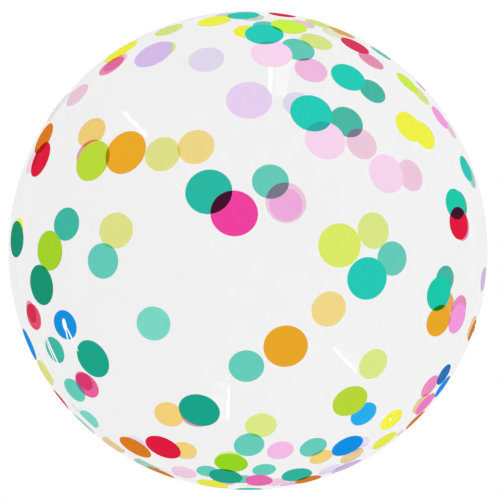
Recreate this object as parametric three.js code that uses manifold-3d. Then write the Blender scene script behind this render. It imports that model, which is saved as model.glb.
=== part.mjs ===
// Clear bubble balloon, blown up. Two round sheets of clear film are welded together round their
// rims and blown up to a ball, so the ball carries one thin weld ridge round its middle. The ball is
// sealed, so it is one closed solid. It lies on a small flat spot, where its own weight presses the
// film against whatever it rests on.
//
// Millimetres, +Z up. The origin is the middle of the flat spot, on the ground. The weld lies in the
// XZ plane: the front sheet faces -Y and the back sheet faces +Y.

import * as THREE from 'three';
import { mergeVertices } from 'three/addons/utils/BufferGeometryUtils.js';
import Module from 'manifold-3d';

// ---- Driving dimensions ----
const BUBBLE_DIAMETER = 560; // across the blown-up film, measured clear of the weld
const FLAT_SPOT_DIAMETER = 64; // where the film is pressed flat by the ground
const WELD_WIDTH = 6; // along the film, from one sheet to the other
const WELD_HEIGHT = 0.8; // how far the weld stands proud of the film

// ---- Fineness of the faceted film ----
const FACETS_ROUND = 96; // round the axis through the middles of the two sheets
const FACETS_PER_SHEET = 20; // from a sheet's middle to its weld
const FACETS_PER_WELD_SIDE = 3; // from the foot of the weld to its crest

// ---- Worked-out sizes ----
const BUBBLE_RADIUS = BUBBLE_DIAMETER / 2;
const FLAT_SPOT_DEPTH = BUBBLE_RADIUS - Math.sqrt(BUBBLE_RADIUS ** 2 - (FLAT_SPOT_DIAMETER / 2) ** 2);
const CENTRE_HEIGHT = BUBBLE_RADIUS - FLAT_SPOT_DEPTH;
const WELD_HALF_ANGLE = WELD_WIDTH / 2 / BUBBLE_RADIUS;

// ---- Materials ----
const clearFilm = new THREE.MeshStandardMaterial({
  color: 0xeeeeee,
  roughness: 0.08,
  metalness: 0,
  transparent: true,
  opacity: 0.25,
});

const wasm = await Module();
wasm.setup();

/** Turns a closed geometry into a manifold-3d solid, leaving out the flat triangles at its poles. */
function solidFrom(geometry) {
  const bare = new THREE.BufferGeometry();
  bare.setAttribute('position', geometry.getAttribute('position'));
  bare.setIndex(geometry.getIndex());
  const merged = mergeVertices(bare, 1e-4);
  const corners = merged.getIndex().array;
  const triangles = [];
  for (let i = 0; i < corners.length; i += 3) {
    const [a, b, c] = corners.slice(i, i + 3);
    if (a !== b && b !== c && c !== a) triangles.push(a, b, c);
  }
  return new wasm.Manifold(
    new wasm.Mesh({
      numProp: 3,
      vertProperties: new Float32Array(merged.getAttribute('position').array),
      triVerts: new Uint32Array(triangles),
    }),
  );
}

/** Turns a manifold-3d solid back into a geometry. */
function geometryFrom(solid) {
  const mesh = solid.getMesh();
  const geometry = new THREE.BufferGeometry();
  geometry.setAttribute('position', new THREE.BufferAttribute(mesh.vertProperties, 3));
  geometry.setIndex(new THREE.BufferAttribute(mesh.triVerts, 1));
  geometry.computeVertexNormals();
  return geometry;
}

/** The film's distance from the ball's centre, at an angle (radians) from the weld's plane. */
function filmRadius(fromWeld) {
  const share = Math.min(Math.abs(fromWeld) / WELD_HALF_ANGLE, 1);
  return BUBBLE_RADIUS + (WELD_HEIGHT * (1 + Math.cos(Math.PI * share))) / 2;
}

/** The half outline that is turned about Y, from the back sheet's middle to the front sheet's. */
function filmProfile() {
  const quarter = Math.PI / 2;
  const fromWeld = [];
  for (let i = 0; i < FACETS_PER_SHEET; i += 1) {
    fromWeld.push(quarter + ((WELD_HALF_ANGLE - quarter) * i) / FACETS_PER_SHEET);
  }
  for (let i = 0; i < FACETS_PER_WELD_SIDE; i += 1) {
    fromWeld.push(WELD_HALF_ANGLE * (1 - i / FACETS_PER_WELD_SIDE));
  }
  const backHalf = fromWeld.map((angle) => {
    const radius = filmRadius(angle);
    return new THREE.Vector2(radius * Math.cos(angle), radius * Math.sin(angle));
  });
  backHalf[0].x = 0;
  const crest = new THREE.Vector2(filmRadius(0), 0);
  const frontHalf = backHalf.map((point) => new THREE.Vector2(point.x, -point.y)).reverse();
  return [...backHalf, crest, ...frontHalf].reverse();
}

/** The whole blown-up film, cut flat below where it rests. */
function buildBubble() {
  const ball = solidFrom(new THREE.LatheGeometry(filmProfile(), FACETS_ROUND));
  const groundThickness = 2 * WELD_HEIGHT + FLAT_SPOT_DEPTH;
  const ground = new THREE.BoxGeometry(BUBBLE_DIAMETER, BUBBLE_DIAMETER, groundThickness);
  ground.translate(0, 0, -CENTRE_HEIGHT - groundThickness / 2);
  const bubble = new THREE.Mesh(geometryFrom(ball.subtract(solidFrom(ground))), clearFilm);
  bubble.name = 'bubble';
  bubble.position.z = CENTRE_HEIGHT;
  return bubble;
}

const balloon = new THREE.Group();
balloon.add(buildBubble());

export default balloon;
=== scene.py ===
"""Dresses a clear bubble balloon: two round film sheets printed with confetti dots, welded edge to edge.

Each sheet is made flat, its dots are cut into it, and it is then blown up to a half ball. The two halves are
closed with a raised weld, and the closed bubble gets the thickness of its film.
"""

import logging
import math
from dataclasses import dataclass
from enum import Enum

import bmesh
import bpy
from mathutils import Euler, Matrix, Vector


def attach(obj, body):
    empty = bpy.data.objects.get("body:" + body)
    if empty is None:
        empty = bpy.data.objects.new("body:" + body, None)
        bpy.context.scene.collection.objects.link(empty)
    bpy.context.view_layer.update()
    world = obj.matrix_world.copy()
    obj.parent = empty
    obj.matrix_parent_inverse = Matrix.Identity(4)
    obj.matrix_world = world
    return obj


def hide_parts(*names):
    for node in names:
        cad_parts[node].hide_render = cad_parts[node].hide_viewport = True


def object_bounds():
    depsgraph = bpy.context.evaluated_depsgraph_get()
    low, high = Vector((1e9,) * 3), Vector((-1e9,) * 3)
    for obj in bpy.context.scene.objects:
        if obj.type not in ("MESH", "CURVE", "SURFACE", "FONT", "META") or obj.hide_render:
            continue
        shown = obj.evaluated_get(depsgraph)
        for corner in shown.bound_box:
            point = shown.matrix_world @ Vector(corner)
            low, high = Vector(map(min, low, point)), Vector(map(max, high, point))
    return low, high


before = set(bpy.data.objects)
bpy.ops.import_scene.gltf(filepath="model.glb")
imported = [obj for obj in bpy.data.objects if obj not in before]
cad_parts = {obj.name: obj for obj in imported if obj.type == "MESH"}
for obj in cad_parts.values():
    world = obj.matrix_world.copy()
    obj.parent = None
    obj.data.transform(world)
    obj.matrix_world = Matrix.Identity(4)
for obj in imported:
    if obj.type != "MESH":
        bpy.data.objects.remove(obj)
CAD_LOW, CAD_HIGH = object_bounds()

Colour = tuple[float, float, float]
Place = tuple[float, float]

LOG = logging.getLogger("bubble")
PRINT = "print"
INKS = "inks"
MM = 0.001
ORIGIN = (0.0, 0.0, 0.0)
UPWARDS = Vector((0.0, 0.0, 1.0))
WHITE = (1.0, 1.0, 1.0, 1.0)
BLACK = (0.0, 0.0, 0.0, 1.0)

# On a flat sheet the weld lies at this many degrees from the middle.
WELD = 90.0
# Nearly all noise lies between these two values.
NOISE_ENDS: Place = (0.3, 0.7)
# Under this height of its normal a face belongs to a cutting tube, and not to the sheet.
UPRIGHT = 0.5
# In metres: how far off the sheet a tube's leftovers start, how closely cuts and doubles are matched, and how
# near the middle still counts as the middle.
OFF_SHEET = 0.01 * MM
CUT_TOLERANCE = 1e-7
MERGE_DISTANCE = 1e-6
MIDDLE = 1e-9


class Sheet(Enum):
    """The two film sheets, by the way they face."""

    FRONT = -1
    BACK = 1


@dataclass(frozen=True)
class Ink:
    """One printing ink, as it shows from outside and from inside through the film. Its inside colour is
    mostly paler and brighter than its outside: partly the ink's own reverse, partly painted light standing
    for white light from behind that shines through the ink.
    """

    outside: Colour
    inside: Colour


TEAL = Ink((0.016, 0.50, 0.40), (0.125, 0.63, 0.525))
SEA = Ink((0.008, 0.50, 0.35), (0.10, 0.62, 0.51))
JADE = Ink((0.020, 0.41, 0.31), (0.045, 0.50, 0.39))
# The next two are darker copies of teal's outside: painted shade for front dots on the left and at the
# bottom, which get less light.
SHADED_TEAL = Ink((0.009, 0.325, 0.215), (0.02, 0.41, 0.31))
DEEP_SHADED_TEAL = Ink((0.006, 0.255, 0.145), (0.02, 0.41, 0.31))
MINT = Ink((0.016, 0.50, 0.40), (0.20, 0.72, 0.60))
AQUA = Ink((0.30, 0.62, 0.55), (0.35, 0.68, 0.58))
MIST = Ink((0.55, 0.70, 0.64), (0.58, 0.73, 0.67))
LIME = Ink((0.60, 0.71, 0.11), (0.74, 0.86, 0.25))
SPRING = Ink((0.50, 0.73, 0.055), (0.76, 0.86, 0.25))
# The next three are darker copies of lime's outside and share one inside colour: painted shade for dots to
# the left and lower down, which get less light.
SHADED_LIME = Ink((0.42, 0.60, 0.035), (0.78, 0.80, 0.26))
DEEPER_SHADED_LIME = Ink((0.315, 0.555, 0.02), (0.78, 0.80, 0.26))
DEEPEST_SHADED_LIME = Ink((0.265, 0.60, 0.012), (0.78, 0.80, 0.26))
ORANGE = Ink((0.71, 0.335, 0.018), (0.92, 0.72, 0.25))
OCHRE = Ink((0.71, 0.335, 0.018), (0.83, 0.43, 0.09))
# A darker copy of orange's outside: painted shade for dots near the edge and at the bottom.
SHADED_ORANGE = Ink((0.63, 0.17, 0.006), (0.93, 0.66, 0.20))
SAND = Ink((0.80, 0.56, 0.30), (0.85, 0.62, 0.33))
YELLOW = Ink((0.73, 0.735, 0.05), (0.95, 0.96, 0.04))
CREAM = Ink((0.80, 0.84, 0.60), (0.84, 0.87, 0.63))
MAGENTA = Ink((0.74, 0.045, 0.295), (0.95, 0.43, 0.82))
FUCHSIA = Ink((0.71, 0.12, 0.39), (0.95, 0.50, 0.86))
ORCHID = Ink((0.77, 0.17, 0.52), (0.88, 0.27, 0.58))
ROSE = Ink((0.78, 0.27, 0.62), (0.95, 0.52, 0.82))
PINK = Ink((0.78, 0.555, 0.72), (0.91, 0.61, 0.785))
BLUSH = Ink((0.80, 0.50, 0.80), (1.0, 0.68, 1.0))
VEIL = Ink((0.84, 0.78, 0.81), (0.92, 0.85, 0.88))
LAVENDER = Ink((0.67, 0.52, 0.73), (0.81, 0.74, 0.95))
LILAC = Ink((0.56, 0.41, 0.68), (0.68, 0.50, 0.74))
RED = Ink((0.65, 0.007, 0.039), (0.80, 0.08, 0.15))
CERISE = Ink((0.60, 0.03, 0.09), (0.86, 0.28, 0.50))
RASPBERRY = Ink((0.62, 0.006, 0.032), (0.84, 0.115, 0.34))
BLUE = Ink((0.001, 0.24, 0.70), (0.001, 0.42, 0.93))
AZURE = Ink((0.001, 0.24, 0.68), (0.001, 0.29, 0.78))
NAVY = Ink((0.001, 0.24, 0.68), (0.001, 0.16, 0.52))
# Opaque white for the fine streaks on the front sheet: painted highlights.
GLINT_WHITE = Ink((0.90, 0.90, 0.90), (0.86, 0.86, 0.86))
# What the print attribute says on bare film, where only the ink would read it.
BARE: Colour = (0.8, 0.8, 0.8)
GREENS = (TEAL, SEA, JADE, SHADED_TEAL, DEEP_SHADED_TEAL, MINT, AQUA)
PINKS = (PINK, BLUSH, ROSE, ORCHID, FUCHSIA, MAGENTA, CERISE, RASPBERRY, LAVENDER)

# What shows where a green lies with a pink, from outside and from inside, and with magenta or red.
LAGOON: Colour = (0.018, 0.35, 0.32)
SLATE: Colour = (0.18, 0.185, 0.27)
MAROON: Colour = (0.051, 0.005, 0.023)


@dataclass(frozen=True)
class Mark:
    """An oval on a flat sheet.

    Its place is to the right and up from the sheet's middle, in degrees, where 90 is the weld.
    """

    ink: Ink
    right: float
    up: float

    def reach(self) -> Place:
        """Gives how far the mark reaches along its own way and across it, in degrees."""
        raise NotImplementedError

    def turn(self) -> float:
        """Gives the turn of the mark's own way from the sheet's right."""
        raise NotImplementedError

    def holds(self, right: float, up: float) -> bool:
        """Tells whether a place lies inside the mark.

        Args:
            right: How far right of the sheet's middle the place is, in degrees.
            up: How far up from the sheet's middle it is, in degrees.

        Returns:
            Whether it lies inside.
        """
        x, y = right - self.right, up - self.up
        c, s = math.cos(self.turn()), math.sin(self.turn())
        along, across = self.reach()
        return math.hypot((x * c + y * s) / along, (y * c - x * s) / across) < 1.0


@dataclass(frozen=True)
class Dot(Mark):
    """One printed confetti dot, lined up with the spoke of the sheet that it lies on.

    Its size is half its width across that spoke, in degrees. Its depth is its reach along the spoke, as a
    share of its size.
    """

    size: float
    depth: float = 0.95

    def reach(self) -> Place:
        """Gives the dot's reach along its spoke and across it."""
        return self.size * self.depth, self.size

    def turn(self) -> float:
        """Gives the turn of the dot's spoke."""
        return math.atan2(self.up, self.right)


@dataclass(frozen=True)
class PaintedGlint(Mark):
    """A fine white streak on the film: a painted highlight standing for the glint on a small fold of the
    film.

    Its slant is in degrees clockwise from straight up.
    """

    length: float
    width: float
    slant: float

    def reach(self) -> Place:
        """Gives half the streak's length and half its width."""
        return self.length / 2, self.width / 2

    def turn(self) -> float:
        """Gives the turn of the streak's long way."""
        return math.radians(90.0 - self.slant)


# Each dot has its ink, its place to the right and up, its size and, for some, its depth. Where a dot takes a
# darker shaded copy of an ink, that darker colour is painted shade.
FRONT_MIDDLE: tuple[Dot, ...] = (
    Dot(JADE, -1.5, 15.75, 5.25),
    Dot(MAGENTA, 4.25, 11.0, 5.25),
    Dot(LIME, 27.75, 4.0, 5.0, 1.0),
    Dot(TEAL, 34.5, -3.75, 5.0, 1.0),
    Dot(ORANGE, 15.5, -18.75, 5.0, 1.0),
    Dot(ORANGE, -22.5, 25.5, 5.5),
    Dot(SHADED_LIME, -31.75, 24.0, 5.25),
    Dot(LILAC, -22.0, 56.25, 5.75),
    Dot(LAVENDER, 6.5, 38.5, 5.5),
    Dot(PINK, 24.75, 28.75, 5.0),
    Dot(TEAL, 21.5, 35.75, 5.25),
    Dot(PINK, 40.25, 21.5, 5.0),
    Dot(YELLOW, 49.25, 36.25, 4.75, 0.95),
    Dot(DEEPER_SHADED_LIME, -44.0, 2.0, 5.0, 1.0),
    Dot(DEEP_SHADED_TEAL, -48.0, -7.0, 5.25, 1.0),
    Dot(SHADED_TEAL, -32.0, -24.25, 5.0, 1.0),
    Dot(SHADED_LIME, 31.5, -35.5, 4.75),
    Dot(SHADED_TEAL, -5.25, -35.5, 5.0),
)

FRONT_RIGHT: tuple[Dot, ...] = (
    Dot(SEA, 56.25, -9.25, 4.75),
    Dot(ORANGE, 57.0, -17.0, 4.5, 1.05),
    Dot(ROSE, 65.5, -18.25, 4.5),
    Dot(SEA, 63.75, 15.25, 4.5, 1.0),
    Dot(RED, 64.75, 9.75, 4.75),
    Dot(TEAL, 74.25, 28.25, 4.5, 0.9),
    Dot(LILAC, 84.25, -9.0, 4.25),
    Dot(SHADED_ORANGE, 81.0, -27.5, 4.0, 1.0),
    Dot(BLUE, 68.5, -45.5, 4.5),
    Dot(ORCHID, 60.0, -48.25, 4.5),
    Dot(SHADED_ORANGE, 59.75, -57.75, 4.5, 1.0),
)

FRONT_LEFT: tuple[Dot, ...] = (
    Dot(DEEP_SHADED_TEAL, -63.25, 4.5, 5.25, 1.2),
    Dot(SHADED_ORANGE, -57.0, 34.25, 5.0, 1.1),
    Dot(RED, -54.25, 27.0, 5.25),
    Dot(PINK, -60.25, 27.5, 4.0),
    Dot(BLUE, -64.5, -28.0, 5.25, 0.9),
    Dot(RED, -57.5, -47.0, 4.0, 1.1),
    Dot(AQUA, -49.0, -53.75, 4.5, 0.7),
    Dot(SAND, -48.75, -71.25, 4.75, 1.35),
    Dot(SHADED_LIME, -72.75, -44.25, 5.25, 1.0),
    Dot(AQUA, -36.0, -77.75, 5.0, 1.25),
    Dot(VEIL, -69.5, 52.5, 6.5),
)

FRONT_TOP: tuple[Dot, ...] = (
    Dot(TEAL, 8.75, 63.25, 5.5, 1.0),
    Dot(SPRING, 15.75, 69.75, 5.5),
    Dot(PINK, 11.25, 54.25, 5.5),
    Dot(RED, 13.25, 82.75, 4.75, 0.9),
    Dot(CERISE, 36.75, 66.25, 5.0, 0.8),
    Dot(TEAL, 32.0, 49.0, 5.0),
    Dot(SPRING, 54.0, 55.25, 4.5, 0.8),
    Dot(ROSE, 66.0, 45.25, 4.5, 0.8),
    Dot(TEAL, 0.75, 77.5, 5.25),
    Dot(YELLOW, -7.5, 72.25, 5.25, 0.85),
    Dot(YELLOW, -48.25, 75.0, 6.25, 0.85),
)

FRONT_BOTTOM: tuple[Dot, ...] = (
    Dot(SHADED_ORANGE, -27.25, -53.5, 5.0, 0.9),
    Dot(RED, -17.5, -50.25, 5.0),
    Dot(DEEPEST_SHADED_LIME, 0.5, -54.75, 4.5, 1.0),
    Dot(SHADED_TEAL, -2.25, -63.0, 4.75, 1.1),
    Dot(FUCHSIA, 7.0, -66.25, 4.0, 1.2),
    Dot(JADE, 18.25, -65.0, 4.5, 1.15),
    Dot(SHADED_ORANGE, 22.0, -72.5, 4.25, 1.1),
    Dot(BLUE, 32.5, -53.25, 4.75),
    Dot(YELLOW, 46.25, -59.0, 4.5, 1.0),
    Dot(YELLOW, -8.0, -71.75, 5.0, 1.1),
    Dot(SHADED_ORANGE, -25.5, -70.25, 4.75, 1.05),
    Dot(LILAC, 35.75, -70.25, 4.5, 1.0),
    Dot(TEAL, 2.5, -78.25, 4.5),
)

BACK_MIDDLE: tuple[Dot, ...] = (
    Dot(TEAL, -1.0, 15.75, 5.0),
    Dot(PINK, 3.0, 10.0, 5.5, 1.0),
    Dot(BLUSH, 3.0, 9.5, 4.5, 1.0),
    Dot(LIME, 27.75, 3.0, 5.0),
    Dot(TEAL, 33.75, -4.5, 4.75, 1.0),
    Dot(ORANGE, 15.25, -18.5, 5.0),
    Dot(ORANGE, -21.0, 26.25, 5.25),
    Dot(SHADED_LIME, -30.5, 24.75, 5.25),
    Dot(LAVENDER, -17.25, 56.5, 5.5),
    Dot(LAVENDER, 8.0, 38.75, 4.25),
    Dot(PINK, 25.75, 27.5, 4.75),
    Dot(JADE, 22.0, 34.0, 5.0),
    Dot(PINK, 41.0, 19.5, 4.75, 0.9),
    Dot(YELLOW, 49.25, 33.5, 4.75, 0.95),
    Dot(DEEPER_SHADED_LIME, -44.25, 3.25, 5.25, 1.0),
    Dot(TEAL, -48.5, -5.5, 5.25),
    Dot(MINT, -33.25, -23.5, 5.0, 1.0),
    Dot(LIME, 30.75, -34.75, 4.75),
    Dot(TEAL, -6.75, -35.0, 5.0),
)

BACK_RIGHT: tuple[Dot, ...] = (
    Dot(JADE, 54.0, -10.25, 4.25),
    Dot(OCHRE, 55.25, -18.0, 4.25),
    Dot(ORCHID, 63.0, -19.5, 4.5),
    Dot(JADE, 61.75, 13.0, 4.25),
    Dot(CERISE, 61.75, 6.5, 4.75),
    Dot(AQUA, 73.75, 25.0, 4.5, 0.85),
    Dot(LILAC, 81.5, -10.25, 4.0),
    Dot(SAND, 77.5, -27.0, 4.25, 0.9),
    Dot(NAVY, 64.75, -42.5, 4.0),
    Dot(ORCHID, 57.75, -45.5, 4.25, 0.9),
    Dot(SAND, 57.25, -52.5, 4.25, 0.9),
)

BACK_LEFT: tuple[Dot, ...] = (
    Dot(JADE, -61.5, 6.25, 5.25),
    Dot(YELLOW, -87.0, 6.5, 5.0, 0.8),
    Dot(SHADED_ORANGE, -53.75, 35.5, 5.25),
    Dot(CERISE, -53.5, 27.5, 5.25),
    Dot(AZURE, -63.5, -26.0, 5.0),
    Dot(RED, -79.5, -25.0, 5.0, 0.9),
    Dot(CERISE, -80.5, -23.25, 4.25, 0.7),
    Dot(JADE, -70.0, -36.0, 5.0, 0.9),
    Dot(RASPBERRY, -57.5, -47.0, 5.0, 0.9),
    Dot(CERISE, -58.5, -45.5, 3.75, 0.9),
    Dot(TEAL, -64.0, -51.0, 5.0),
    Dot(MINT, -60.75, -64.25, 4.5, 1.0),
)

BACK_TOP: tuple[Dot, ...] = (
    Dot(TEAL, 11.25, 60.25, 5.25, 1.0),
    Dot(LIME, 18.5, 65.25, 5.25, 0.8),
    Dot(ROSE, 13.75, 51.5, 5.0),
    Dot(PINK, 17.0, 77.0, 4.25, 0.8),
    Dot(CERISE, 37.0, 60.5, 4.75, 0.75),
    Dot(JADE, 32.75, 46.0, 4.5),
    Dot(LIME, 55.0, 51.0, 4.25, 0.75),
    Dot(PINK, 67.25, 41.0, 3.75, 0.7),
    Dot(TEAL, 3.25, 72.5, 4.5, 0.85),
    Dot(YELLOW, -3.5, 69.25, 4.5, 0.85),
    Dot(LIME, -29.75, 79.0, 5.25, 0.85),
    Dot(YELLOW, -49.75, 73.0, 5.25, 1.0),
    Dot(YELLOW, -46.75, 75.75, 5.25),
    Dot(LIME, -31.5, 64.75, 4.75),
    Dot(CERISE, -50.25, 64.75, 5.25, 0.85),
    Dot(ROSE, -49.0, 66.0, 5.0, 0.8),
    Dot(PINK, -63.5, 55.75, 5.25),
    Dot(LIME, 24.5, 81.5, 5.0),
    Dot(OCHRE, 33.0, 78.0, 5.0, 0.85),
    Dot(CREAM, 27.0, 73.0, 4.0, 0.8),
    Dot(TEAL, 46.5, 70.0, 4.25, 0.7),
    Dot(CERISE, 62.0, 59.5, 2.5),
    Dot(MIST, -8.5, 83.5, 4.5, 0.85),
    Dot(MIST, -0.5, 80.75, 4.5, 0.85),
)

BACK_BOTTOM: tuple[Dot, ...] = (
    Dot(SHADED_ORANGE, -29.0, -52.75, 4.75),
    Dot(CERISE, -20.5, -51.5, 5.0),
    Dot(LIME, -1.0, -54.5, 4.75),
    Dot(TEAL, -3.75, -62.5, 4.75, 1.05),
    Dot(FUCHSIA, 6.5, -64.75, 4.25),
    Dot(TEAL, 17.25, -64.0, 4.5),
    Dot(SHADED_ORANGE, 21.5, -69.25, 4.0, 0.9),
    Dot(BLUE, 31.5, -51.75, 4.5),
    Dot(YELLOW, 44.25, -56.25, 4.5, 0.9),
    Dot(LIME, -9.25, -70.0, 4.5),
    Dot(SHADED_ORANGE, -24.25, -67.75, 4.25, 1.0),
    Dot(LAVENDER, -41.5, -69.5, 4.25),
    Dot(LAVENDER, 34.5, -65.5, 4.0, 0.9),
    Dot(SAND, 34.5, -71.75, 4.5),
    Dot(LILAC, 35.5, -81.0, 4.5),
    Dot(LAVENDER, 28.5, -79.0, 4.25, 0.85),
    Dot(TEAL, 3.0, -75.0, 4.0, 0.9),
    Dot(TEAL, -16.0, -78.25, 4.0),
    Dot(TEAL, -3.25, -82.5, 4.0),
    Dot(PINK, -24.5, -82.0, 4.75),
    Dot(ROSE, -10.0, -87.0, 4.5, 0.8),
    Dot(PINK, 9.0, -85.0, 4.25, 0.9),
    Dot(ROSE, 16.0, -88.0, 4.0, 0.7),
    Dot(SHADED_LIME, 2.0, -88.0, 2.5),
    Dot(PINK, 55.25, -66.5, 1.75),
)

# Fine white streaks on the front sheet, each with its place, length, width and slant: painted highlights.
PAINTED_GLINTS: tuple[PaintedGlint, ...] = (
    PaintedGlint(GLINT_WHITE, -39.75, -16.25, 3.25, 1.4, -5.0),
    PaintedGlint(GLINT_WHITE, -39.5, -18.5, 5.0, 0.5, -4.0),
    PaintedGlint(GLINT_WHITE, -37.75, -19.75, 7.0, 0.55, -25.0),
    PaintedGlint(GLINT_WHITE, -47.0, -25.5, 14.75, 0.75, -21.0),
    PaintedGlint(GLINT_WHITE, -48.25, -25.25, 6.5, 0.5, -15.5),
    PaintedGlint(GLINT_WHITE, -53.25, -27.25, 13.25, 0.65, -24.5),
    PaintedGlint(GLINT_WHITE, -8.25, 17.0, 5.0, 0.15, -38.0),
    PaintedGlint(GLINT_WHITE, 42.0, -44.0, 2.0, 0.5, -45.0),
    PaintedGlint(GLINT_WHITE, 45.0, -46.5, 1.25, 0.75, -45.0),
    PaintedGlint(GLINT_WHITE, 48.75, -52.75, 2.5, 0.5, -45.0),
    PaintedGlint(GLINT_WHITE, 2.25, -26.25, 0.75, 0.5, 0.0),
)

# The front sheet also carries the white streaks of painted highlight.
PRINTS: dict[Sheet, tuple[Mark, ...]] = {
    Sheet.FRONT: FRONT_MIDDLE + FRONT_RIGHT + FRONT_LEFT + FRONT_TOP + FRONT_BOTTOM + PAINTED_GLINTS,
    Sheet.BACK: BACK_MIDDLE + BACK_RIGHT + BACK_LEFT + BACK_TOP + BACK_BOTTOM,
}


def deselect_all() -> None:
    """Leaves object mode with nothing selected."""
    if bpy.context.object and bpy.context.object.mode != "OBJECT":
        bpy.ops.object.mode_set(mode="OBJECT")
    bpy.ops.object.select_all(action="DESELECT")


def pick(*pieces: bpy.types.Object) -> None:
    """Selects only these objects and makes the first one active.

    Args:
        pieces: The objects to select.
    """
    deselect_all()
    for piece in pieces:
        piece.select_set(True)
    bpy.context.view_layer.objects.active = pieces[0]


def select_open_edges() -> None:
    """Selects only the edges that border on a single face, in edit mode."""
    bpy.ops.mesh.select_all(action="DESELECT")
    bpy.ops.mesh.select_mode(type="EDGE")
    bpy.ops.mesh.select_non_manifold(
        extend=False, use_wire=False, use_boundary=True, use_multi_face=False,
        use_non_contiguous=False, use_verts=False,
    )


def new_material(name: str) -> tuple[bpy.types.Material, bpy.types.NodeTree, bpy.types.Node]:
    """Makes a material with one Principled shader.

    Args:
        name: The material's name.

    Returns:
        The material, its node tree and its shader.
    """
    material = bpy.data.materials.new(name)
    material.use_nodes = True
    tree = material.node_tree
    return material, tree, tree.nodes["Principled BSDF"]


def speckle(tree: bpy.types.NodeTree, scale: float) -> bpy.types.NodeSocket:
    """Adds noise that stays fixed to the film.

    Args:
        tree: The node tree to add to.
        scale: How many grains there are in a metre.

    Returns:
        The noise's value, from 0 to 1.
    """
    place = tree.nodes.new("ShaderNodeTexCoord")
    noise = tree.nodes.new("ShaderNodeTexNoise")
    noise.inputs["Scale"].default_value = scale
    tree.links.new(place.outputs["Object"], noise.inputs["Vector"])
    return noise.outputs["Fac"]


def spread(
    tree: bpy.types.NodeTree, value: bpy.types.NodeSocket, onto: Place, ends: Place = NOISE_ENDS
) -> bpy.types.NodeSocket:
    """Stretches a value onto a range.

    Args:
        tree: The node tree to add to.
        value: The value to stretch.
        onto: What the value becomes at its low end and at its high end.
        ends: The value's own low end and high end.

    Returns:
        The stretched value.
    """
    reach = tree.nodes.new("ShaderNodeMapRange")
    reach.inputs["From Min"].default_value, reach.inputs["From Max"].default_value = ends
    reach.inputs["To Min"].default_value, reach.inputs["To Max"].default_value = onto
    tree.links.new(value, reach.inputs["Value"])
    return reach.outputs["Result"]


def by_ray(tree: bpy.types.NodeTree, fill: float, seen: float, mirrored: float) -> bpy.types.NodeSocket:
    """Adds a brightness that depends on how the light is met.

    Args:
        tree: The node tree to add to.
        fill: The brightness that lights things.
        seen: The brightness that the camera sees.
        mirrored: The brightness that glossy film mirrors.

    Returns:
        The brightness.
    """
    path = tree.nodes.new("ShaderNodeLightPath")
    lit = tree.nodes.new("ShaderNodeMapRange")
    lit.inputs["To Min"].default_value = fill
    lit.inputs["To Max"].default_value = mirrored
    tree.links.new(path.outputs["Is Glossy Ray"], lit.inputs["Value"])
    shown = tree.nodes.new("ShaderNodeMapRange")
    shown.inputs["To Max"].default_value = seen
    tree.links.new(lit.outputs["Result"], shown.inputs["To Min"])
    tree.links.new(path.outputs["Is Camera Ray"], shown.inputs["Value"])
    return shown.outputs["Result"]


def turn_to(side: Vector, up: Vector, back: Vector) -> Euler:
    """Gives the turn of an object whose own axes point these three ways."""
    return Matrix((side, up, back)).transposed().to_euler()


@dataclass(frozen=True)
class ClearFilm:
    """Clear glossy film with a faint haze, whose colour is painted lighter from -X to +X: painted light
    standing for soft light from the +X side.
    """

    half_width: float
    haze: float = 0.0385
    tint: Colour = (0.06, 0.06, 0.06)
    refraction: float = 3.0
    # The haze colour's scale at -X and at +X: painted light from the +X side.
    painted_side_light: Place = (0.3, 5.0)
    cloud_scale: float = 5.0
    cloud: Place = (0.7, 1.3)
    gloss_scale: float = 14.0
    gloss: Place = (0.02, 0.035)

    def build(self) -> bpy.types.Material:
        """Makes the film's material.

        Returns:
            The material.
        """
        material, tree, shader = new_material("clear_film")
        shader.inputs["Alpha"].default_value = self.haze
        shader.inputs["IOR"].default_value = self.refraction
        place = tree.nodes.new("ShaderNodeTexCoord")
        apart = tree.nodes.new("ShaderNodeSeparateXYZ")
        tree.links.new(place.outputs["Object"], apart.inputs["Vector"])
        # Painted light: the haze colour grows lighter towards +X, times a random cloud.
        width = (-self.half_width, self.half_width)
        painted_side_light = tree.nodes.new("ShaderNodeMath")
        painted_side_light.operation = "MULTIPLY"
        tree.links.new(spread(tree, apart.outputs["X"], self.painted_side_light, width), painted_side_light.inputs[0])
        tree.links.new(spread(tree, speckle(tree, self.cloud_scale), self.cloud), painted_side_light.inputs[1])
        shade = tree.nodes.new("ShaderNodeVectorMath")
        shade.operation = "SCALE"
        shade.inputs[0].default_value = self.tint
        tree.links.new(painted_side_light.outputs["Value"], shade.inputs["Scale"])
        tree.links.new(shade.outputs["Vector"], shader.inputs["Base Color"])
        tree.links.new(spread(tree, speckle(tree, self.gloss_scale), self.gloss), shader.inputs["Roughness"])
        return material


@dataclass(frozen=True)
class PrintedInk:
    """Opaque satin printing ink. Its colour comes from the film's own print attribute, which also holds
    painted shade on some dots, painted light on the dots' insides and the painted highlights of the white
    streaks.
    """

    sheen: float = 0.008
    grain_scale: float = 700.0
    grain: Place = (0.965, 1.035)
    satin_scale: float = 90.0
    satin: Place = (0.52, 0.64)

    def build(self) -> bpy.types.Material:
        """Makes the ink's material.

        Returns:
            The material.
        """
        material, tree, shader = new_material("printed_ink_and_painted_light")
        shader.inputs["Specular IOR Level"].default_value = self.sheen
        ink = tree.nodes.new("ShaderNodeAttribute")
        ink.attribute_name = PRINT
        shade = tree.nodes.new("ShaderNodeVectorMath")
        shade.operation = "SCALE"
        tree.links.new(ink.outputs["Color"], shade.inputs[0])
        tree.links.new(spread(tree, speckle(tree, self.grain_scale), self.grain), shade.inputs["Scale"])
        tree.links.new(shade.outputs["Vector"], shader.inputs["Base Color"])
        tree.links.new(spread(tree, speckle(tree, self.satin_scale), self.satin), shader.inputs["Roughness"])
        return material


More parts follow.
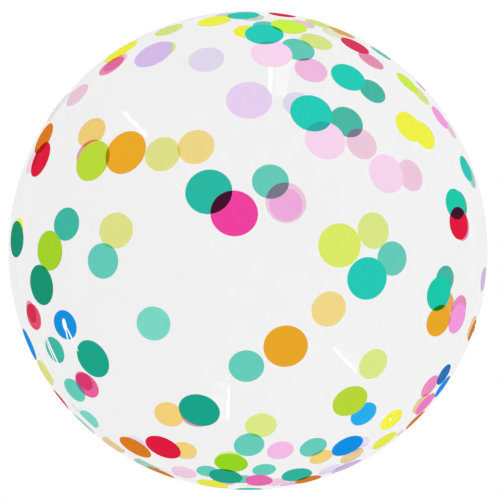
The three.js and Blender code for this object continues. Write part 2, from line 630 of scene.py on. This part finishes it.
def mixed(inks: tuple[Ink, ...], outside: bool) -> Colour:
    """Gives the colour that shows where inks lie on each other.

    Args:
        inks: The inks at one spot.
        outside: Whether the spot is seen from outside the bubble.

    Returns:
        The colour of that spot.
    """
    # A white streak of painted highlight covers whatever lies under it.
    if GLINT_WHITE in inks:
        return GLINT_WHITE.outside if outside else GLINT_WHITE.inside
    green = any(ink in GREENS for ink in inks)
    if green and outside and any(ink in (MAGENTA, RED) for ink in inks):
        return MAROON
    if green and any(ink in PINKS for ink in inks):
        return LAGOON if outside else SLATE
    shade = [1.0, 1.0, 1.0]
    for ink in dict.fromkeys(inks):
        layer = ink.outside if outside else ink.inside
        shade = [s * c for s, c in zip(shade, layer)]
    return tuple(shade)


@dataclass
class Bubble:
    """The blown-up bubble: two printed sheets, the weld between them and the flat spot it lies on."""

    spokes: int = 144
    wide_rings: int = 34
    rim_rings: int = 14
    rim_band: float = 8.0
    weld_margin: float = 0.6
    weld_steps: tuple[float, ...] = (0.8, 0.6, 0.4, 0.2)
    dot_sides: int = 48
    cutter_height: float = 20 * MM
    film: float = 0.15 * MM

    def __post_init__(self) -> None:
        """Takes the bubble's radius, its weld and its height from the frame, and starts with bare film."""
        self.radius = (CAD_HIGH.y - CAD_LOW.y) / 2
        self.weld_height = (CAD_HIGH.x - CAD_LOW.x) / 2 - self.radius
        self.centre = Vector((0.0, 0.0, CAD_HIGH.z - self.weld_height - self.radius))
        self.paints: list[tuple[Colour, Colour]] = [(BARE, BARE)]
        self.paint_numbers: dict[tuple[Ink, ...], int] = {(): 0}

    def arc(self, degrees: float) -> float:
        """Gives the length of an arc of the bubble."""
        return self.radius * math.radians(degrees)

    def faces_out(self, polygon: bpy.types.MeshPolygon) -> bool:
        """Tells whether a face is on the outside of the film."""
        return polygon.normal.dot(polygon.center - self.centre) > 0

    def ring_radii(self) -> list[float]:
        """Lists the flat sheet's rings from the rim inwards, close together near the weld.

        Returns:
            The radii of the rings.
        """
        rim = WELD - self.weld_margin
        inner = rim - self.rim_band
        near = [rim - self.rim_band * k / self.rim_rings for k in range(self.rim_rings)]
        far = [inner * (1 - k / self.wide_rings) for k in range(self.wide_rings)]
        return [self.arc(r) for r in near + far]

    def flat_sheet(self) -> bpy.types.Object:
        """Makes a flat round sheet: the rim is drawn inwards ring by ring and closed at its middle.

        Returns:
            The flat sheet, in the XY plane.
        """
        radii = self.ring_radii()
        deselect_all()
        bpy.ops.mesh.primitive_circle_add(vertices=self.spokes, radius=radii[0], fill_type="NOTHING")
        sheet = bpy.context.object
        bpy.ops.object.mode_set(mode="EDIT")
        bpy.ops.mesh.select_mode(type="EDGE")
        bpy.ops.mesh.select_all(action="SELECT")
        for outer, inner in zip(radii, radii[1:]):
            bpy.ops.mesh.extrude_edges_move()
            bpy.ops.transform.resize(value=(inner / outer,) * 3, center_override=ORIGIN)
        bpy.ops.mesh.extrude_edges_move()
        bpy.ops.mesh.merge(type="CENTER")
        bpy.ops.object.mode_set(mode="OBJECT")
        return sheet

    def cut_marks(self, sheet: bpy.types.Object, marks: tuple[Mark, ...]) -> None:
        """Cuts the outline of each mark into a flat sheet, with one open tube for each.

        Args:
            sheet: The flat sheet.
            marks: The marks to cut.
        """
        pick(sheet)
        bpy.ops.object.mode_set(mode="EDIT")
        bpy.ops.mesh.select_mode(type="FACE")
        for mark in marks:
            along, across = mark.reach()
            bpy.ops.mesh.primitive_cylinder_add(
                vertices=self.dot_sides,
                radius=1.0,
                depth=self.cutter_height,
                end_fill_type="NOTHING",
                location=(self.arc(mark.right), self.arc(mark.up), 0.0),
                rotation=(0.0, 0.0, mark.turn()),
                scale=(self.arc(along), self.arc(across), 1.0),
            )
        mesh = bmesh.from_edit_mesh(sheet.data)
        for face in mesh.faces:
            face.select_set(abs(face.normal.z) < UPRIGHT)
        bmesh.update_edit_mesh(sheet.data)
        bpy.ops.mesh.intersect(
            mode="SELECT_UNSELECT", separate_mode="NONE", threshold=CUT_TOLERANCE, solver="EXACT"
        )
        self.drop_cutters(sheet)

    def drop_cutters(self, sheet: bpy.types.Object) -> None:
        """Deletes what is left of the tubes above and below a cut sheet.

        Args:
            sheet: The sheet, in edit mode.
        """
        bpy.ops.mesh.select_all(action="DESELECT")
        bpy.ops.mesh.select_mode(type="VERT")
        mesh = bmesh.from_edit_mesh(sheet.data)
        for vert in mesh.verts:
            vert.select_set(abs(vert.co.z) > OFF_SHEET)
        bmesh.update_edit_mesh(sheet.data)
        bpy.ops.mesh.delete(type="VERT")
        bpy.ops.mesh.select_all(action="SELECT")
        bpy.ops.mesh.remove_doubles(threshold=MERGE_DISTANCE)
        bpy.ops.mesh.delete_loose(use_verts=True, use_edges=True, use_faces=False)
        bpy.ops.object.mode_set(mode="OBJECT")

    def paint_number(self, inks: tuple[Ink, ...]) -> int:
        """Gives the number that stands for these inks, which is 0 for bare film.

        Args:
            inks: The inks at one spot.

        Returns:
            Their number in the list of paints.
        """
        if inks not in self.paint_numbers:
            self.paint_numbers[inks] = len(self.paints)
            self.paints.append((mixed(inks, outside=True), mixed(inks, outside=False)))
        return self.paint_numbers[inks]

    def lay_inks(self, sheet: bpy.types.Object, marks: tuple[Mark, ...]) -> None:
        """Writes on each face which inks cover it.

        Args:
            sheet: The flat sheet with its marks cut in.
            marks: The marks.
        """
        mesh = sheet.data
        mesh.calc_loop_triangles()
        biggest: dict[int, bpy.types.MeshLoopTriangle] = {}
        for triangle in mesh.loop_triangles:
            kept = biggest.get(triangle.polygon_index)
            if kept is None or triangle.area > kept.area:
                biggest[triangle.polygon_index] = triangle
        numbers = mesh.attributes.new(INKS, "INT", "FACE")
        degree = self.arc(1.0)
        for number, triangle in biggest.items():
            spot = sum((mesh.vertices[v].co for v in triangle.vertices), Vector()) / 3
            inks = tuple(mark.ink for mark in marks if mark.holds(spot.x / degree, spot.y / degree))
            numbers.data[number].value = self.paint_number(inks)

    def blow_up(self, sheet: bpy.types.Object, side: Sheet) -> None:
        """Carries a flat sheet onto its half of the ball. Lengths along each spoke stay as printed.

        Args:
            sheet: The flat sheet.
            side: Which half it becomes.
        """
        for vert in sheet.data.vertices:
            out = math.hypot(vert.co.x, vert.co.y)
            angle = out / self.radius
            share = self.radius * math.sin(angle) / out if out > MIDDLE else 1.0
            depth = side.value * self.radius * math.cos(angle)
            vert.co = Vector((vert.co.x * share, depth, vert.co.y * share))
        sheet.data.update()

    def raise_weld(self, sheet: bpy.types.Object, side: Sheet) -> None:
        """Draws the rim out towards the crest of the weld.

        Args:
            sheet: The half ball.
            side: Which half it is.
        """
        half_width = self.radius * math.cos(math.radians(WELD - self.weld_margin))
        pick(sheet)
        bpy.ops.object.mode_set(mode="EDIT")
        select_open_edges()
        for share in self.weld_steps:
            bpy.ops.mesh.extrude_edges_move()
            mesh = bmesh.from_edit_mesh(sheet.data)
            lift = self.weld_height * 0.5 * (1 + math.cos(math.pi * share))
            for vert in mesh.verts:
                if vert.select:
                    away = Vector((vert.co.x, 0.0, vert.co.z)).normalized() * (self.radius + lift)
                    vert.co = Vector((away.x, side.value * half_width * share, away.z))
            bmesh.update_edit_mesh(sheet.data)
        bpy.ops.object.mode_set(mode="OBJECT")

    def half(self, side: Sheet) -> bpy.types.Object:
        """Makes one printed, blown-up sheet with its half of the weld.

        Args:
            side: Which half.

        Returns:
            The half ball, open along the crest of the weld.
        """
        marks = PRINTS[side]
        sheet = self.flat_sheet()
        self.cut_marks(sheet, marks)
        self.lay_inks(sheet, marks)
        self.blow_up(sheet, side)
        self.raise_weld(sheet, side)
        LOG.info("%s sheet: %d marks, %d faces", side.name.lower(), len(marks), len(sheet.data.polygons))
        return sheet

    def close(self, front: bpy.types.Object, back: bpy.types.Object) -> bpy.types.Object:
        """Joins the two halves along the crest of the weld.

        Args:
            front: The front half.
            back: The back half.

        Returns:
            The closed bubble, around the frame's origin.
        """
        pick(front, back)
        bpy.ops.object.join()
        shell = bpy.context.object
        bpy.ops.object.mode_set(mode="EDIT")
        select_open_edges()
        bpy.ops.mesh.bridge_edge_loops()
        bpy.ops.mesh.select_all(action="SELECT")
        bpy.ops.mesh.normals_make_consistent(inside=False)
        bpy.ops.object.mode_set(mode="OBJECT")
        return shell

    def settle(self, shell: bpy.types.Object) -> None:
        """Lifts the bubble onto the ground, where its film presses flat.

        Args:
            shell: The closed bubble.
        """
        for vert in shell.data.vertices:
            vert.co += self.centre
            vert.co.z = max(vert.co.z, 0.0)
        shell.data.update()

    def thicken(self, shell: bpy.types.Object) -> None:
        """Gives the closed film its wall, measured inwards.

        Args:
            shell: The closed bubble.
        """
        before = len(shell.data.polygons)
        pick(shell)
        wall = shell.modifiers.new("wall", "SOLIDIFY")
        wall.thickness = self.film
        wall.offset = -1.0
        wall.use_rim = False
        bpy.ops.object.modifier_apply(modifier=wall.name)
        LOG.info("wall: %d faces outside, %d in all", before, len(shell.data.polygons))

    def dress(self, shell: bpy.types.Object) -> None:
        """Puts the film and the inks on the faces, with each dot's other colour on the inside, which is
        partly painted light from behind.

        Args:
            shell: The closed bubble with its wall.
        """
        mesh = shell.data
        mesh.materials.clear()
        mesh.materials.append(ClearFilm(self.radius).build())
        mesh.materials.append(PrintedInk().build())
        numbers = [0] * len(mesh.polygons)
        mesh.attributes[INKS].data.foreach_get("value", numbers)
        colours = mesh.color_attributes.new(PRINT, "FLOAT_COLOR", "CORNER")
        for polygon in mesh.polygons:
            number = numbers[polygon.index]
            outside, inside = self.paints[number]
            paint = outside if self.faces_out(polygon) else inside
            polygon.material_index = 1 if number else 0
            for corner in polygon.loop_indices:
                colours.data[corner].color = (*paint, 1.0)
        mesh.attributes.remove(mesh.attributes[INKS])
        pick(shell)
        bpy.ops.object.shade_smooth()
        self.true_normals(mesh)

    def true_normals(self, mesh: bpy.types.Mesh) -> None:
        """Gives the film the ball's own normals, so that reflections run straight across the cut dots.

        The weld and the flat spot keep theirs.

        Args:
            mesh: The dressed bubble's mesh.
        """
        normals = [corner.vector.copy() for corner in mesh.corner_normals]
        for polygon in mesh.polygons:
            side = 1.0 if self.faces_out(polygon) else -1.0
            for corner in polygon.loop_indices:
                place = mesh.vertices[mesh.loops[corner].vertex_index].co
                out = place - self.centre
                if abs(out.length - self.radius) < 2 * self.film and place.z > self.film:
                    normals[corner] = out.normalized() * side
        mesh.normals_split_custom_set(normals)

    def build(self) -> bpy.types.Object:
        """Makes the whole bubble, rides it on the frame and puts it in its node's place.

        Returns:
            The printed bubble.
        """
        shell = self.close(self.half(Sheet.FRONT), self.half(Sheet.BACK))
        shell.name = shell.data.name = "printed_bubble"
        self.settle(shell)
        self.thicken(shell)
        self.dress(shell)
        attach(shell, "root")
        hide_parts("bubble")
        return shell


@dataclass(frozen=True)
class Strip:
    """A thin strip light that runs fore and aft, given by where the bubble sees it.

    It starts and ends at these turns, in degrees clockwise from straight up, and at these swings, in degrees
    from the camera's direction. Its width is in degrees, and its glow is against white.
    """

    name: str
    turns: Place
    swings: Place
    width: float
    glow: float


STRIPS: tuple[Strip, ...] = (
    Strip("top_strip", (8.0, 6.9), (76.5, 99.0), 1.2, 15.0),
    Strip("top_strip_glow", (11.6, 10.6), (75.0, 100.0), 4.5, 3.0),
    Strip("left_strip", (-41.3, -41.9), (72.5, 93.5), 1.15, 15.0),
    Strip("left_strip_glow", (-44.0, -44.8), (74.0, 94.0), 3.0, 1.2),
)


@dataclass
class Studio:
    """A white seamless set with a large soft light, two glowing strip lights and a long lens."""

    centre: Vector
    radius: float
    azimuth: float = 7.3
    elevation: float = 2.9
    distance: float = 9.5
    lens: float = 162.8
    sensor: float = 36.0
    shift: Place = (0.0045, 0.0012)
    clip: Place = (0.05, 60.0)
    light_range: float = 3.0
    key_swing: float = 75.0
    key_turn: float = 38.0
    key_side: float = 1.6
    key_glow: float = 0.4
    seen: float = 1.0
    mirrored: float = 0.1
    world_fill: float = 1.18
    floor_fill: float = 1.12
    floor_side: float = 16.0
    floor_gap: float = 0.2 * MM

    def view_axes(self) -> tuple[Vector, Vector, Vector]:
        """Gives the camera's own directions.

        Returns:
            Its right, its up and the way from the bubble to it.
        """
        a, e = math.radians(self.azimuth), math.radians(self.elevation)
        right = Vector((math.cos(a), math.sin(a), 0.0))
        back = Vector((math.sin(a) * math.cos(e), -math.cos(a) * math.cos(e), math.sin(e)))
        return right, back.cross(right), back

    def direction(self, swing: float, turn: float) -> Vector:
        """Gives a direction from the bubble.

        Args:
            swing: Degrees away from the camera's own direction.
            turn: Degrees clockwise from straight up, as the camera sees it.

        Returns:
            The unit direction.
        """
        right, up, back = self.view_axes()
        s, t = math.radians(swing), math.radians(turn)
        return back * math.cos(s) + (right * math.sin(t) + up * math.cos(t)) * math.sin(s)

    def add_camera(self) -> None:
        """Makes the camera at its distance and aims it at the bubble's middle."""
        lens = bpy.data.cameras.new("camera")
        lens.lens = self.lens
        lens.sensor_width = self.sensor
        lens.shift_x, lens.shift_y = self.shift
        lens.clip_start, lens.clip_end = self.clip
        camera = bpy.data.objects.new("camera", lens)
        bpy.context.collection.objects.link(camera)
        back = self.view_axes()[2]
        camera.location = self.centre + back * self.radius * self.distance
        camera.rotation_euler = back.to_track_quat("Z", "Y").to_euler()
        bpy.context.scene.camera = camera

    def add_panel(
        self, name: str, middle: Vector, along: Vector, size: Place, glow: float
    ) -> bpy.types.Object:
        """Makes one soft panel light that faces the bubble.

        Args:
            name: The light's name.
            middle: Where its middle is.
            along: Which way its second side runs.
            size: Its width and its length along that side.
            glow: How bright it is, against white.

        Returns:
            The light.
        """
        lamp = bpy.data.lights.new(name, "AREA")
        lamp.shape = "RECTANGLE"
        lamp.size, lamp.size_y = size
        lamp.energy = glow * math.pi * size[0] * size[1]
        panel = bpy.data.objects.new(name, lamp)
        bpy.context.collection.objects.link(panel)
        back = (middle - self.centre).normalized()
        side = along.cross(back).normalized()
        panel.rotation_euler = turn_to(side, back.cross(side), back)
        panel.location = middle
        panel.visible_camera = False
        return panel

    def add_strip(self, strip: Strip) -> None:
        """Makes one strip light, which shows in reflections and leaves the matt surfaces alone.

        Args:
            strip: The strip to make.
        """
        start, end = [
            self.centre + self.direction(swing, turn) * self.light_range
            for swing, turn in zip(strip.swings, strip.turns)
        ]
        span = end - start
        size = (math.radians(strip.width) * self.light_range, span.length)
        light = self.add_panel(strip.name, (start + end) / 2, span.normalized(), size, strip.glow)
        light.visible_diffuse = False

    def add_world(self) -> None:
        """Makes the surround: white behind the bubble, a bright fill on it and dim in its reflections."""
        world = bpy.data.worlds.new("surround")
        bpy.context.scene.world = world
        world.use_nodes = True
        tree = world.node_tree
        background = tree.nodes["Background"]
        background.inputs["Color"].default_value = WHITE
        strength = by_ray(tree, self.world_fill, self.seen, self.mirrored)
        tree.links.new(strength, background.inputs["Strength"])

    def add_floor(self) -> None:
        """Makes the plain white floor, which glows so that it stays white."""
        deselect_all()
        bpy.ops.mesh.primitive_plane_add(size=self.floor_side, location=ORIGIN)
        floor = bpy.context.object
        floor.name = "floor"
        floor.location.z = -self.floor_gap
        material, tree, shader = new_material("floor_white")
        shader.inputs["Base Color"].default_value = BLACK
        shader.inputs["Specular IOR Level"].default_value = 0.0
        shader.inputs["Emission Color"].default_value = WHITE
        strength = by_ray(tree, self.floor_fill, self.seen, self.mirrored)
        tree.links.new(strength, shader.inputs["Emission Strength"])
        floor.data.materials.append(material)

    def build(self) -> None:
        """Sets up the camera, the surround, the floor and the lights."""
        self.add_camera()
        self.add_world()
        self.add_floor()
        key = self.centre + self.direction(self.key_swing, self.key_turn) * self.light_range
        self.add_panel("key", key, UPWARDS, (self.key_side, self.key_side), self.key_glow)
        for strip in STRIPS:
            self.add_strip(strip)
        scene = bpy.context.scene
        scene.view_settings.view_transform = "Standard"
        scene.view_settings.look = "None"


def main() -> None:
    """Builds the bubble, then the studio around it."""
    logging.basicConfig(level=logging.INFO, format="%(name)s: %(message)s")
    bubble = Bubble()
    piece = bubble.build()
    LOG.info("printed bubble: %d faces", len(piece.data.polygons))
    Studio(bubble.centre, bubble.radius).build()
    LOG.info("studio ready")


if __name__ == "__main__":
    main()
